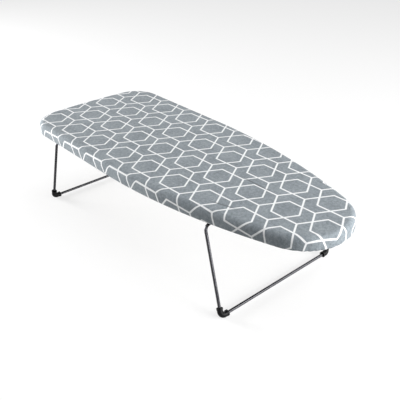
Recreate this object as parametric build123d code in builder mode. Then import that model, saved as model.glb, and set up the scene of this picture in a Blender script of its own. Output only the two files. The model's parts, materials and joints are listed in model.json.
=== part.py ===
"""Tabletop ironing board: a padded, covered board on two folding wire legs.

The origin is on the floor under the middle of the board, +X points to the nose, +Z is up.
All sizes are in millimetres.
"""

import os
from math import atan2, copysign, cos, sin, sqrt

from build123d import *

os.makedirs("parts", exist_ok=True)

# Board outline, seen from above
board_length = 730.0
board_width = 300.0
nose_radius = 92.0
corner_radius = 62.0
rear_bow = 8.0
straight_length = 290.0

# Board layers, from the top down
board_height = 177.0
cloth = 1.0
cloth_gap = 0.2
pad_thickness = 8.0
deck_thickness = 1.2
rim_height = 14.4
rim_width = 12.0
rim_corner = 4.0
edge_radius = 11.0
hem_edge_radius = 5.0

# Hem of the cover: a casing for the elastic, drawn in under the rim
hem_reach = 28.0
elastic_width = 6.0
elastic_thickness = 1.6
elastic_gap = 0.2

# Openings of the expanded deck: long and short pitch of the diamonds, and the strand between them
mesh_long_pitch = 46.0
mesh_short_pitch = 26.0
mesh_strand = 3.2
mesh_border = 16.0

# Cross rails: pressed channels that carry the leg hinges
rail_width = 40.0
rail_sheet = 1.5
rail_bend = 2.5
rail_gap = 0.3
rail_slot_width = 16.0
rail_slot_length = 44.0

# Leg wire and its bends
wire_diameter = 5.5
leg_bend = 11.0
foot_bend = 7.5
tail_bend = 7.0
tail_length = 17.0
bar_height = 4.8
hem_clearance = 0.4
stop_gap = 0.2

# Front leg: hinge and foot stations back from the nose, how far the top bend stands past the board's edge,
# how much further out the foot is, and how far in from its clip each wire end turns
front_hinge_setback = 184.0
front_foot_setback = 123.0
front_top_overhang = 2.0
front_leg_spread = 18.0
front_tail_inset = 17.0

# Rear leg, measured the same way from the rear edge
rear_hinge_setback = 97.5
rear_foot_setback = 63.5
rear_top_overhang = -10.5
rear_leg_spread = 7.0
rear_tail_inset = 21.0

# Saddle clips over the leg wires, and their rivets
clip_sheet = 1.5
clip_length = 18.0
clip_width = 34.0
clip_running_gap = 0.08
clip_edge_gap = 3.0
rivet_diameter = 4.0
rivet_head_diameter = 7.0
rivet_head_height = 1.3
rivet_head_round = 0.9
rivet_edge = 5.5

# Moulded corner feet on the legs: round arms with belled mouths, and a notched web between them
foot_radius = 5.2
foot_collar_radius = 5.7
foot_collar_length = 3.0
foot_mouth_radius = 4.2
foot_mouth_depth = 2.4
foot_upright_arm = 15.0
foot_bar_arm = 15.5
foot_bore_gap = 0.05
foot_web_thickness = 5.0
foot_web_reach = 14.0
foot_notch_radius = 2.2

# Values worked out from the driving sizes
half_length = board_length / 2
half_board = board_width / 2
wire_radius = wire_diameter / 2
taper_start = straight_length - half_length

nose_center_x = half_length - nose_radius
taper_run = nose_center_x - taper_start
side_radius = (taper_run**2 + half_board**2 - nose_radius**2) / (2 * (half_board - nose_radius))
side_center_y = half_board - side_radius
nose_turn = atan2(-side_center_y, taper_run)

bow_radius = (half_board**2 + rear_bow**2) / (2 * rear_bow)
bow_center_x = bow_radius - half_length
corner_center_y = half_board - corner_radius
corner_center_x = bow_center_x - sqrt((bow_radius - corner_radius) ** 2 - corner_center_y**2)
corner_turn = atan2(corner_center_y, bow_center_x - corner_center_x)

pad_top = board_height - cloth - cloth_gap
pad_bottom = pad_top - pad_thickness
deck_bottom = pad_bottom - deck_thickness
rim_bottom = deck_bottom - rim_height
lip_top = rim_bottom - cloth_gap
lip_bottom = lip_top - cloth

rim_inset = cloth + cloth_gap
casing_top = lip_top + 2 * elastic_gap + elastic_thickness + cloth
casing_width = elastic_width + 2 * elastic_gap + 2 * cloth

axle_height = lip_bottom - hem_clearance - wire_radius
web_bottom = axle_height + wire_radius + stop_gap
web_top = web_bottom + rail_sheet
cope_height = casing_top + rail_gap
clip_inner_radius = wire_radius + clip_running_gap
clip_outer_radius = clip_inner_radius + clip_sheet


def half_width_at(x, inset):
    """Half the width of the outline, drawn in by inset, at a station along the board."""
    if x > nose_center_x + nose_radius * cos(nose_turn):
        return sqrt(max((nose_radius - inset) ** 2 - (x - nose_center_x) ** 2, 0.0))
    if x > taper_start:
        return side_center_y + sqrt((side_radius - inset) ** 2 - (x - taper_start) ** 2)
    if x > corner_center_x:
        return half_board - inset
    return corner_center_y + sqrt(max((corner_radius - inset) ** 2 - (x - corner_center_x) ** 2, 0.0))


def board_outline(inset):
    """Closed outline of the board, drawn in by inset all round."""
    rear_point = (inset - half_length, 0)
    bow_end = (
        bow_center_x - (bow_radius - inset) * cos(corner_turn),
        (bow_radius - inset) * sin(corner_turn),
    )
    corner_end = (corner_center_x, half_board - inset)
    side_end = (taper_start, half_board - inset)
    nose_start = (
        nose_center_x + (nose_radius - inset) * cos(nose_turn),
        (nose_radius - inset) * sin(nose_turn),
    )
    nose_point = (half_length - inset, 0)
    with BuildSketch() as outline:
        with BuildLine():
            TangentArc(rear_point, bow_end, tangent=(0, 1))
            TangentArc(corner_end, bow_end, tangent=(-1, 0))
            Line(corner_end, side_end)
            TangentArc(side_end, nose_start, tangent=(1, 0))
            TangentArc(nose_point, nose_start, tangent=(0, 1))
            mirror(about=Plane.XZ)
        make_face()
    return outline.sketch


# Cover: one cloth shell over the pad and round the rim, open inside its hem
with BuildPart() as cover:
    with BuildSketch(Plane.XY.offset(lip_bottom)):
        add(board_outline(0))
    extrude(amount=board_height - lip_bottom)
    fillet(cover.edges().group_by(Axis.Z)[-1], edge_radius)
    fillet(cover.edges().group_by(Axis.Z)[0], hem_edge_radius)
with BuildPart() as cover_room:
    with BuildSketch(Plane.XY.offset(lip_top)):
        add(board_outline(cloth))
    extrude(amount=board_height - cloth - lip_top)
    fillet(cover_room.edges().group_by(Axis.Z)[-1], edge_radius - cloth)
    fillet(cover_room.edges().group_by(Axis.Z)[0], hem_edge_radius - cloth)
    with BuildSketch(Plane.XY.offset(lip_bottom)):
        add(board_outline(hem_reach))
    extrude(amount=lip_top - lip_bottom)
with BuildPart() as cover_shell:
    add(cover.part)
    add(cover_room.part, mode=Mode.SUBTRACT)
cover_shell.part.label = "cover"
export_step(cover_shell.part, "parts/cover.step")

# Hem casing: the turned edge of the cover, a channel sewn down on the lip
with BuildPart() as hem_casing:
    with BuildSketch(Plane.XY.offset(lip_top)):
        add(board_outline(hem_reach - casing_width))
        add(board_outline(hem_reach), mode=Mode.SUBTRACT)
    extrude(amount=casing_top - lip_top)
    with BuildSketch(Plane.XY.offset(lip_top)):
        add(board_outline(hem_reach - casing_width + cloth))
        add(board_outline(hem_reach - cloth), mode=Mode.SUBTRACT)
    extrude(amount=casing_top - cloth - lip_top, mode=Mode.SUBTRACT)
hem_casing.part.label = "hem_casing"
export_step(hem_casing.part, "parts/hem_casing.step")

# Elastic tape inside the casing, lying on the lip
with BuildPart() as hem_elastic:
    with BuildSketch(Plane.XY.offset(lip_top)):
        add(board_outline(hem_reach - cloth - elastic_gap - elastic_width))
        add(board_outline(hem_reach - cloth - elastic_gap), mode=Mode.SUBTRACT)
    extrude(amount=elastic_thickness)
hem_elastic.part.label = "hem_elastic"
export_step(hem_elastic.part, "parts/hem_elastic.step")

# Pad: a foam sheet whose edge rolls over under the cover
pad_edge = edge_radius - rim_inset
with BuildPart() as pad:
    with BuildSketch(Plane.XY.offset(pad_top - pad_thickness - pad_edge)):
        add(board_outline(rim_inset))
    extrude(amount=pad_thickness + pad_edge)
    fillet(pad.edges().group_by(Axis.Z)[-1], pad_edge)
    split(bisect_by=Plane.XY.offset(pad_bottom), keep=Keep.TOP)
pad.part.label = "pad"
export_step(pad.part, "parts/pad.step")

# Deck: expanded steel sheet, with staggered rows of diamond openings
deck_inset = rim_inset + cloth
open_long = mesh_long_pitch / 2 - mesh_strand
open_short = mesh_short_pitch / 2 - mesh_strand / 2
rows = int(board_width / mesh_short_pitch) + 1
columns = int(board_length / mesh_long_pitch) + 1
rear_limit = rim_inset + mesh_border + rear_bow - half_length
mesh_places = []
for row in range(-2 * rows, 2 * rows + 1):
    for column in range(-columns, columns + 1):
        x = (column + (row % 2) / 2) * mesh_long_pitch
        y = row * mesh_short_pitch / 2
        if x - open_long < rear_limit:
            continue
        room = min(half_width_at(x - open_long, mesh_border), half_width_at(x + open_long, mesh_border))
        if abs(y) + open_short / 2 < room:
            mesh_places.append((x, y))
with BuildPart() as deck_mesh:
    with BuildSketch(Plane.XY.offset(deck_bottom)):
        add(board_outline(deck_inset))
        with Locations(*mesh_places):
            Polygon((open_long, 0), (0, open_short), (-open_long, 0), (0, -open_short), mode=Mode.SUBTRACT)
    extrude(amount=deck_thickness)
deck_mesh.part.label = "deck_mesh"
export_step(deck_mesh.part, "parts/deck_mesh.step")
print("deck openings", len(mesh_places))

# Rim: a pressed tube hoop that follows the outline under the deck
with BuildPart() as rim_frame:
    with BuildSketch(Plane.XY.offset(rim_bottom)):
        add(board_outline(rim_inset))
        add(board_outline(rim_inset + rim_width), mode=Mode.SUBTRACT)
    extrude(amount=rim_height)
    fillet(rim_frame.edges().group_by(Axis.Z)[0], rim_corner)
    fillet(rim_frame.edges().group_by(Axis.Z)[-1], rim_corner)
rim_frame.part.label = "rim_frame"
export_step(rim_frame.part, "parts/rim_frame.step")


def clip_center_y(hinge_x):
    """Where the saddle clips sit along a rail, just inside the hem."""
    hem_half = half_width_at(hinge_x + rail_width / 2, hem_reach)
    return hem_half - clip_edge_gap - clip_length / 2


def rivet_places(hinge_x):
    """The four rivets of one hinge, two beside the wire in each clip."""
    reach = clip_width / 2 - rivet_edge
    y = clip_center_y(hinge_x)
    return [(hinge_x + dx, dy) for dx in (-reach, reach) for dy in (-y, y)]


def cross_rail(hinge_x):
    """Pressed channel across the board, open upwards, with its ends cut away over the hem."""
    with BuildPart() as rail:
        with BuildSketch(Plane.XY.offset(web_bottom)):
            with Locations((hinge_x, 0)):
                Rectangle(rail_width, board_width)
        extrude(amount=deck_bottom - web_bottom)
        fillet(rail.edges().filter_by(Axis.Y).group_by(Axis.Z)[0], rail_bend)
        with BuildSketch(Plane.XY.offset(web_top)):
            with Locations((hinge_x, 0)):
                Rectangle(rail_width - 2 * rail_sheet, board_width)
        extrude(amount=deck_bottom - web_top, mode=Mode.SUBTRACT)
        with BuildSketch(Plane.XY.offset(web_bottom)):
            add(board_outline(rim_inset + rim_width + rail_gap))
        extrude(amount=deck_bottom - web_bottom, mode=Mode.INTERSECT)
        with BuildSketch(Plane.XY.offset(web_bottom)):
            add(board_outline(0))
            add(board_outline(hem_reach + rail_gap), mode=Mode.SUBTRACT)
        extrude(amount=cope_height - web_bottom, mode=Mode.SUBTRACT)
        with BuildSketch(Plane.XY.offset(web_bottom)):
            with Locations((hinge_x, 0)):
                SlotOverall(rail_slot_length, rail_slot_width, rotation=90)
            with Locations(*rivet_places(hinge_x)):
                Circle(rivet_diameter / 2)
        extrude(amount=rail_sheet, mode=Mode.SUBTRACT)
    return rail.part


def saddle_clip(hinge_x, y):
    """Strap pressed round the wire, with a flat ear on each side riveted to the rail."""
    middle = Plane(origin=(hinge_x, y, axle_height), x_dir=(1, 0, 0), z_dir=(0, -1, 0))
    ear_level = web_bottom - axle_height
    with BuildPart() as clip:
        with BuildSketch(middle):
            with Locations((0, ear_level)):
                Rectangle(clip_width, clip_sheet, align=(Align.CENTER, Align.MAX))
                Rectangle(2 * clip_outer_radius, ear_level, align=(Align.CENTER, Align.MAX))
            Circle(clip_outer_radius)
            Circle(clip_inner_radius, mode=Mode.SUBTRACT)
            with Locations((0, ear_level)):
                below = (Align.CENTER, Align.MAX)
                above = (Align.CENTER, Align.MIN)
                Rectangle(2 * clip_inner_radius, ear_level, align=below, mode=Mode.SUBTRACT)
                Rectangle(clip_width, clip_outer_radius, align=above, mode=Mode.SUBTRACT)
        extrude(amount=clip_length / 2, both=True)
        fillet(clip.edges().filter_by(Axis.Z).group_by(Axis.X)[0], rivet_edge - rivet_diameter / 2)
        fillet(clip.edges().filter_by(Axis.Z).group_by(Axis.X)[-1], rivet_edge - rivet_diameter / 2)
        with BuildSketch(Plane.XY.offset(web_bottom - clip_sheet)):
            with Locations(*rivet_places(hinge_x)):
                Circle(rivet_diameter / 2)
        extrude(amount=clip_sheet, mode=Mode.SUBTRACT)
    return clip.part


def hinge_rivets(hinge_x):
    """The rivets of one hinge, with a rounded head on each side of clip and rail."""
    grip_bottom = web_bottom - clip_sheet
    with BuildPart() as rivets:
        with BuildSketch(Plane.XY.offset(grip_bottom)):
            with Locations(*rivet_places(hinge_x)):
                Circle(rivet_diameter / 2)
        extrude(amount=web_top - grip_bottom)
        for level, height in ((grip_bottom, -rivet_head_height), (web_top, rivet_head_height)):
            with BuildSketch(Plane.XY.offset(level)):
                with Locations(*rivet_places(hinge_x)):
                    Circle(rivet_head_diameter / 2)
            extrude(amount=height)
        fillet(rivets.edges().group_by(Axis.Z)[0], rivet_head_round)
        fillet(rivets.edges().group_by(Axis.Z)[-1], rivet_head_round)
    return rivets.part


def bottom_corner(foot_x, foot_half, side):
    """Corner of the leg's wire line above one foot."""
    return Vector(foot_x, side * foot_half, bar_height)


def leg_line(hinge_x, foot_x, overhang, spread, tail_inset):
    """Corner points of a leg's wire line, from one bent tail to the other."""
    outward = copysign(1, hinge_x)
    top_half = half_width_at(hinge_x, 0) + overhang
    foot_half = top_half + spread
    tail_half = clip_center_y(hinge_x) - clip_length / 2 - tail_inset
    near = [
        Vector(hinge_x + outward * tail_length, -tail_half, axle_height),
        Vector(hinge_x, -tail_half, axle_height),
        Vector(hinge_x, -top_half, axle_height),
        bottom_corner(foot_x, foot_half, -1),
    ]
    far = [Vector(point.X, -point.Y, point.Z) for point in reversed(near)]
    return near + far


def wire_leg(points):
    """One length of round wire bent along the leg's line."""
    bends = [tail_bend, leg_bend, foot_bend, foot_bend, leg_bend, tail_bend]
    with BuildPart() as leg:
        with BuildLine() as route:
            FilletPolyline(*points, radius=bends)
        with BuildSketch(Plane(origin=route.line @ 0, z_dir=route.line % 0)):
            Circle(wire_radius)
        sweep()
    return leg.part


def corner_foot(points, side):
    """Moulded elbow boot on a bottom corner: a collar round each belled mouth, and a notched web."""
    ordered = points if side < 0 else points[::-1]
    top, corner, across = ordered[2:5]
    up = (top - corner).normalized()
    along = (across - corner).normalized()
    up_end = corner + up * foot_upright_arm
    along_end = corner + along * foot_bar_arm
    bore_start = corner + up * 2 * foot_upright_arm
    bore_end = corner + along * 2 * foot_bar_arm
    with BuildPart() as foot:
        with BuildLine():
            FilletPolyline(up_end, corner, along_end, radius=foot_bend)
        with BuildSketch(Plane(origin=up_end, z_dir=-up)):
            Circle(foot_radius)
        sweep()
        for mouth, inward in ((up_end, -up), (along_end, -along)):
            with BuildSketch(Plane(origin=mouth, z_dir=inward)):
                Circle(foot_collar_radius)
            extrude(amount=foot_collar_length)
        with BuildSketch(Plane(origin=corner, x_dir=along, z_dir=along.cross(up))):
            Polygon((0, 0), (foot_web_reach, 0), (0, foot_web_reach), align=None)
            with Locations((foot_web_reach / 2, foot_web_reach / 2)):
                Circle(foot_notch_radius, mode=Mode.SUBTRACT)
        extrude(amount=foot_web_thickness / 2, both=True)
        split(bisect_by=Plane.XY, keep=Keep.TOP)
        with BuildLine():
            FilletPolyline(bore_start, corner, bore_end, radius=foot_bend)
        with BuildSketch(Plane(origin=bore_start, z_dir=-up)):
            Circle(wire_radius + foot_bore_gap)
        sweep(mode=Mode.SUBTRACT)
        for mouth, inward in ((up_end, -up), (along_end, -along)):
            with BuildSketch(Plane(origin=mouth, z_dir=inward)):
                Circle(foot_mouth_radius)
            extrude(amount=foot_mouth_depth, mode=Mode.SUBTRACT)
    return foot.part


def write_node(part, name):
    """Label a finished piece and write it under its node's name."""
    part.label = name
    export_step(part, f"parts/{name}.step")


front_hinge_x = half_length - front_hinge_setback
front_foot_x = half_length - front_foot_setback
rear_hinge_x = rear_hinge_setback - half_length
rear_foot_x = rear_foot_setback - half_length
hinges = {
    "front": (front_hinge_x, front_foot_x, front_top_overhang, front_leg_spread, front_tail_inset),
    "rear": (rear_hinge_x, rear_foot_x, rear_top_overhang, rear_leg_spread, rear_tail_inset),
}
for end_name, leg_sizes in hinges.items():
    station = leg_sizes[0]
    line = leg_line(*leg_sizes)
    write_node(cross_rail(station), f"{end_name}_cross_rail")
    write_node(hinge_rivets(station), f"{end_name}_hinge_rivets")
    write_node(wire_leg(line), f"{end_name}_leg")
    for side_name, side in (("right", -1), ("left", 1)):
        write_node(saddle_clip(station, side * clip_center_y(station)), f"{end_name}_hinge_clip_{side_name}")
        write_node(corner_foot(line, side), f"{end_name}_foot_{side_name}")
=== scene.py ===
"""Looks of a tabletop ironing board: printed cover, foam pad, steel deck and folding wire legs.

Every piece is in metres in the shared frame: +X to the nose, +Y to the left side, +Z up, floor at zero.
"""

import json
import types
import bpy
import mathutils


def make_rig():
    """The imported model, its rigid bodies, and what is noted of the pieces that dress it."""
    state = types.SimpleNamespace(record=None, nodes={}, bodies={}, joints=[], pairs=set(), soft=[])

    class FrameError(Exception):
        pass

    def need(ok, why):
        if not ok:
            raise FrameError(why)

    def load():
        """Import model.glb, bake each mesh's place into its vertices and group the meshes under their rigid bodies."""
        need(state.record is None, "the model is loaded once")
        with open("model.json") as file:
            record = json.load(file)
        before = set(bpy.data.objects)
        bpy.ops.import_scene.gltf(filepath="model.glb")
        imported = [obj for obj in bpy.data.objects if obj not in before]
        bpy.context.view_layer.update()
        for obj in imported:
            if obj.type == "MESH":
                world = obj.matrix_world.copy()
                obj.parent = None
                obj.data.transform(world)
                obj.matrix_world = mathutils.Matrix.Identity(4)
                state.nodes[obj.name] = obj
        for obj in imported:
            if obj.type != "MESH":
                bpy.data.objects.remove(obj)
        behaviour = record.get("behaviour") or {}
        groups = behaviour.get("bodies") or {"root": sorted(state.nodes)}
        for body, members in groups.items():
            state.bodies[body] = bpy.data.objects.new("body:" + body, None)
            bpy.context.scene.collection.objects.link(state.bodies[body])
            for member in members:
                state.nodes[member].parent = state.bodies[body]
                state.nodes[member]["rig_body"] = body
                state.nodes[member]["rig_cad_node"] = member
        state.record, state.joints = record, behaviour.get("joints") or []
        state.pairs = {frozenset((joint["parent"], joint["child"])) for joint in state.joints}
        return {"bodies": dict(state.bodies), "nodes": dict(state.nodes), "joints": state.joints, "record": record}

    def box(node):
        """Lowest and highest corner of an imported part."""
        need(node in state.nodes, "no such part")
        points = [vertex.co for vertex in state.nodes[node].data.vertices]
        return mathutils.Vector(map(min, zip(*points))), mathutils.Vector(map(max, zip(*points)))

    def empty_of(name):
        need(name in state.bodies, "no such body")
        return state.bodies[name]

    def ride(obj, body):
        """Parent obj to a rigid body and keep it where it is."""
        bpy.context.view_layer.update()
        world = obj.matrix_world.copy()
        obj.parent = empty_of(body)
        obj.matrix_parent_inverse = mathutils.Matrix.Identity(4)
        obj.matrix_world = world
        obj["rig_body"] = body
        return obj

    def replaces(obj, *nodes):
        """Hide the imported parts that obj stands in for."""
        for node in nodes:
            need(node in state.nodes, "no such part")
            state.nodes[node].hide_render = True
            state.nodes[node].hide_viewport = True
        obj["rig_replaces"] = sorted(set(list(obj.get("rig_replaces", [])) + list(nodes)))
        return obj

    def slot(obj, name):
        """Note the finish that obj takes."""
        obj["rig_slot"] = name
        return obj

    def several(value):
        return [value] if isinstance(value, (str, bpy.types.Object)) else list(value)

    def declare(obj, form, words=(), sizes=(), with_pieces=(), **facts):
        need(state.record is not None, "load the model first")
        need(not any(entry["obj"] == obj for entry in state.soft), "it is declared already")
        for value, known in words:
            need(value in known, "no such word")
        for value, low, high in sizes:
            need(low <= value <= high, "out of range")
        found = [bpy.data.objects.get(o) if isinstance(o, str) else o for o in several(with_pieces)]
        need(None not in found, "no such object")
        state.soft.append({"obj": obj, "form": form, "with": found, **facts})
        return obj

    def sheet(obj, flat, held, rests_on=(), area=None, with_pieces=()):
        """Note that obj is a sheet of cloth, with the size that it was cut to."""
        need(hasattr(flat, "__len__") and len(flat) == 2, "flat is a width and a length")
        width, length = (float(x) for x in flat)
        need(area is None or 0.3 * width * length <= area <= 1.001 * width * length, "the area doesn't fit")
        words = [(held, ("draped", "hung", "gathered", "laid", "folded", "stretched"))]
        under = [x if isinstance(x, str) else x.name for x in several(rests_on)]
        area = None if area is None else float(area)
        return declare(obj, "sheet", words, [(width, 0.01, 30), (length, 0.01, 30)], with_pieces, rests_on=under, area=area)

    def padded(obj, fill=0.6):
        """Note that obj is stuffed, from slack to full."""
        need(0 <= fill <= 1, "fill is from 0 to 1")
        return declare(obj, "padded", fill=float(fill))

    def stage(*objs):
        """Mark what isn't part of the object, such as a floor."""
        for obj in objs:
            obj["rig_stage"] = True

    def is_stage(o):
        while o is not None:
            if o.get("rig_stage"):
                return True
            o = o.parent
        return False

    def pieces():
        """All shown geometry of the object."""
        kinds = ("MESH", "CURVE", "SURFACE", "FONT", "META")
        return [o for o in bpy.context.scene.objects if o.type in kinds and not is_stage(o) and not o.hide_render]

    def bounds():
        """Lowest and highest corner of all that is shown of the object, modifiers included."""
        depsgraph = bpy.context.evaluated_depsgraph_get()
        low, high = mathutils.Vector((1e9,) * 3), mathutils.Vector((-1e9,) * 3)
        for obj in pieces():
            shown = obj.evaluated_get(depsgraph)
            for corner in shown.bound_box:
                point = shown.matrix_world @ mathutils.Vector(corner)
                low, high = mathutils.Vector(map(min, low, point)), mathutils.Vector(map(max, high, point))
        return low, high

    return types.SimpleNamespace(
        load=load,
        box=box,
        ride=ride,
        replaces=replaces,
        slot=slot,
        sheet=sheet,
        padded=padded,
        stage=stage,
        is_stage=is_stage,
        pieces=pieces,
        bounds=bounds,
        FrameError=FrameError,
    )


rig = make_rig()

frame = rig.load()
CAD_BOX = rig.bounds()

import json
import logging
import math
from dataclasses import dataclass, field
from enum import Enum
from functools import cached_property
from typing import Iterable, NamedTuple

import bmesh
import bpy
from mathutils import Matrix, Vector, noise

LOG = logging.getLogger("ironing_board")
MM = 0.001
SIZE_FILE = "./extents.json"
Color = tuple[float, float, float, float]
Pair = tuple[float, float]
Triple = tuple[float, float, float]


class Body(Enum):
    """Bodies of the part that new pieces ride on."""

    BOARD = "board"


class End(Enum):
    """Ends of the board, each with a rail and a leg."""

    FRONT = "front"
    REAR = "rear"


class Side(Enum):
    """Sides of the board."""

    LEFT = "left"
    RIGHT = "right"


# Shader maths


class Value:
    """A shader socket that takes part in Python expressions."""

    def __init__(self, graph: "Graph", socket: bpy.types.NodeSocket) -> None:
        """Wrap a socket of a graph."""
        self.graph = graph
        self.socket = socket

    def math(self, operation: str, *others: "float | Value") -> "Value":
        """Add one Math node with this value as its first input.

        Args:
            operation: Name of the Math node's operation.
            others: Numbers or values for the node's other inputs.

        Returns:
            The node's result.
        """
        inputs = dict(enumerate((self, *others)))
        return self.graph.value("ShaderNodeMath", {"operation": operation}, inputs)

    def __add__(self, other: "float | Value") -> "Value":
        """Sum."""
        return self.math("ADD", other)

    __radd__ = __add__

    def __mul__(self, other: "float | Value") -> "Value":
        """Product."""
        return self.math("MULTIPLY", other)

    __rmul__ = __mul__

    def __sub__(self, other: "float | Value") -> "Value":
        """Difference."""
        return self.math("SUBTRACT", other)

    def __rsub__(self, other: "float | Value") -> "Value":
        """Difference from a number."""
        return self * -1.0 + other

    def __truediv__(self, other: "float | Value") -> "Value":
        """Quotient."""
        return self.math("DIVIDE", other)

    def __abs__(self) -> "Value":
        """Size without sign."""
        return self.math("ABSOLUTE")

    def __round__(self, digits: int | None = None) -> "Value":
        """Nearest whole number."""
        return self.math("ROUND")

    def clip(self, low: float, high: float) -> "Value":
        """Map low to zero and high to one, and hold outside them."""
        sockets = {"Value": self, "From Min": low, "From Max": high}
        return self.graph.value("ShaderNodeMapRange", {"clamp": True}, sockets)


class Graph:
    """Node graph of a material or of the world."""

    def __init__(self, tree: bpy.types.NodeTree) -> None:
        """Take over a node tree."""
        self.tree = tree

    def node(self, kind: str, settings: dict, sockets: dict) -> bpy.types.Node:
        """Add one node.

        Args:
            kind: Type name of the node.
            settings: Properties, set first.
            sockets: Numbers, colours or values for the inputs, by name or index.

        Returns:
            The new node.
        """
        made = self.tree.nodes.new(kind)
        for key, setting in settings.items():
            setattr(made, key, setting)
        for key, content in sockets.items():
            self.feed(made.inputs[key], content)
        return made

    def value(self, kind: str, settings: dict, sockets: dict, output: int | str = 0) -> Value:
        """Add one node and wrap one of its outputs."""
        return Value(self, self.node(kind, settings, sockets).outputs[output])

    def feed(self, socket: bpy.types.NodeSocket, content: object) -> None:
        """Fill one input of a node.

        Args:
            socket: The input.
            content: A value to link, or a number or colour to set on the input itself.
        """
        if isinstance(content, Value):
            self.tree.links.new(content.socket, socket)
        else:
            socket.default_value = content

    def coordinates(self) -> Value:
        """Object coordinates of the piece."""
        return self.value("ShaderNodeTexCoord", {}, {}, "Object")

    def map_place(self, name: str) -> tuple[Value, Value, Value]:
        """Read one of the piece's UV maps.

        Args:
            name: Name of the map.

        Returns:
            The place on the map, then its first and its second part.
        """
        place = self.value("ShaderNodeUVMap", {"uv_map": name}, {})
        parts = self.node("ShaderNodeSeparateXYZ", {}, {0: place})
        return place, Value(self, parts.outputs["X"]), Value(self, parts.outputs["Y"])

    def grain(self, place: Value, scale: float, detail: float = 3.0) -> Value:
        """Noise of a given number of grains to the metre."""
        sockets = {"Vector": place, "Scale": scale, "Detail": detail}
        return self.value("ShaderNodeTexNoise", {}, sockets, "Fac")

    def mix(self, amount: "float | Value", low: object, high: object) -> Value:
        """Blend two colours."""
        sockets = {0: amount, 6: low, 7: high}
        return self.value("ShaderNodeMix", {"data_type": "RGBA"}, sockets, 2)

    def bump(
        self, height: Value, depth: float, strength: float, below: Value | None = None
    ) -> Value:
        """Turn a height into a surface normal.

        Args:
            height: Height from zero to one.
            depth: Metres that a height of one stands for.
            strength: Share of the bump that shows.
            below: Normal of a bump that this one lies on.

        Returns:
            The normal.
        """
        sockets = {"Height": height, "Distance": depth, "Strength": strength}
        if below is not None:
            sockets["Normal"] = below
        return self.value("ShaderNodeBump", {}, sockets)

    def background_rays(self) -> Value:
        """Tell the rays that show the background from those that light the object.

        Returns:
            One for rays from the camera, off gloss and through glass, zero for others.
        """
        path = self.node("ShaderNodeLightPath", {}, {})
        names = ("Is Camera Ray", "Is Glossy Ray", "Is Transmission Ray")
        camera, gloss, glass = (Value(self, path.outputs[name]) for name in names)
        return (camera + gloss + glass).math("MINIMUM", 1.0)


class Surface(Graph):
    """Node graph of one material, around its Principled shader."""

    def __init__(self, name: str) -> None:
        """Start a material.

        Args:
            name: Name of the material.
        """
        self.material = bpy.data.materials.new(name)
        self.material.use_nodes = True
        super().__init__(self.material.node_tree)
        self.shader = self.tree.nodes["Principled BSDF"]

    def surface(self, **sockets: object) -> None:
        """Set or link the shader's inputs; underscores in the names stand for spaces."""
        for key, content in sockets.items():
            self.feed(self.shader.inputs[key.replace("_", " ")], content)


def srgb(red: int, green: int, blue: int) -> Color:
    """Turn a colour on screen into the linear colour that shaders use.

    Args:
        red: Red level of 0 to 255.
        green: Green level of 0 to 255.
        blue: Blue level of 0 to 255.

    Returns:
        The opaque linear colour, by the usual curve of screens.
    """
    def linear(level: int) -> float:
        """One channel."""
        share = level / 255
        return share / 12.92 if share <= 0.04045 else ((share + 0.055) / 1.055) ** 2.4

    return (linear(red), linear(green), linear(blue), 1.0)


# Finishes; grains, threads and the like are counted to the metre


@dataclass(frozen=True)
class HexagonPrint:
    """White line print: small hexagons whose sides run on to meet in three-armed stars."""

    pitch: float = 78.4 * MM
    line_width: float = 3.2 * MM
    soft_edge: float = 0.6 * MM
    turn: float = math.radians(1.7)
    stretch: float = 1.025
    center: Pair = (-11.4 * MM, 39.0 * MM)

    def segments(self) -> list[Triple]:
        """The repeating lines as centre x, centre y and direction.

        Returns:
            One entry for each line of the repeat, all of them two hexagon sides long.
        """
        side = self.pitch / 3
        rise = side * math.sqrt(3) / 2
        slope = math.radians(60)
        return [
            (side / 2, rise, 0.0),
            (side / 2, -rise, 0.0),
            (2 * side, 0.0, -slope),
            (2 * side, 0.0, slope),
            (2 * side, 2 * rise, slope),
            (2 * side, -2 * rise, -slope),
        ]

    def mask(self, lengthwise: Value, crosswise: Value) -> Value:
        """White lines as a mask.

        Args:
            lengthwise: Place on the unfolded cloth along the board, in metres.
            crosswise: Place on the unfolded cloth across the board, in metres.

        Returns:
            One on the lines, zero between them.
        """
        side = self.pitch / 3
        row = self.pitch * math.sqrt(3) / 2
        crosswise = crosswise / self.stretch
        nearest = None
        for x, y, direction in self.segments():
            cosine, sine = math.cos(direction + self.turn), math.sin(direction + self.turn)
            middle = Matrix.Rotation(self.turn, 2) @ Vector((x, y)) + Vector(self.center)
            run_shift = middle.x * cosine + middle.y * sine
            aside_shift = middle.y * cosine - middle.x * sine
            run = lengthwise * cosine + crosswise * sine - run_shift
            aside = crosswise * cosine - lengthwise * sine - aside_shift
            line = round(aside / row)
            run = run - line * (self.pitch / 2)
            run = run - round(run / self.pitch) * self.pitch
            past_end = (abs(run) - side).math("MAXIMUM", 0.0)
            aside = aside - line * row
            distance = (past_end * past_end + aside * aside).math("SQRT")
            nearest = distance if nearest is None else nearest.math("MINIMUM", distance)
        half, soft = self.line_width / 2, self.soft_edge / 2
        return 1.0 - nearest.clip(half - soft, half + soft)


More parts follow.
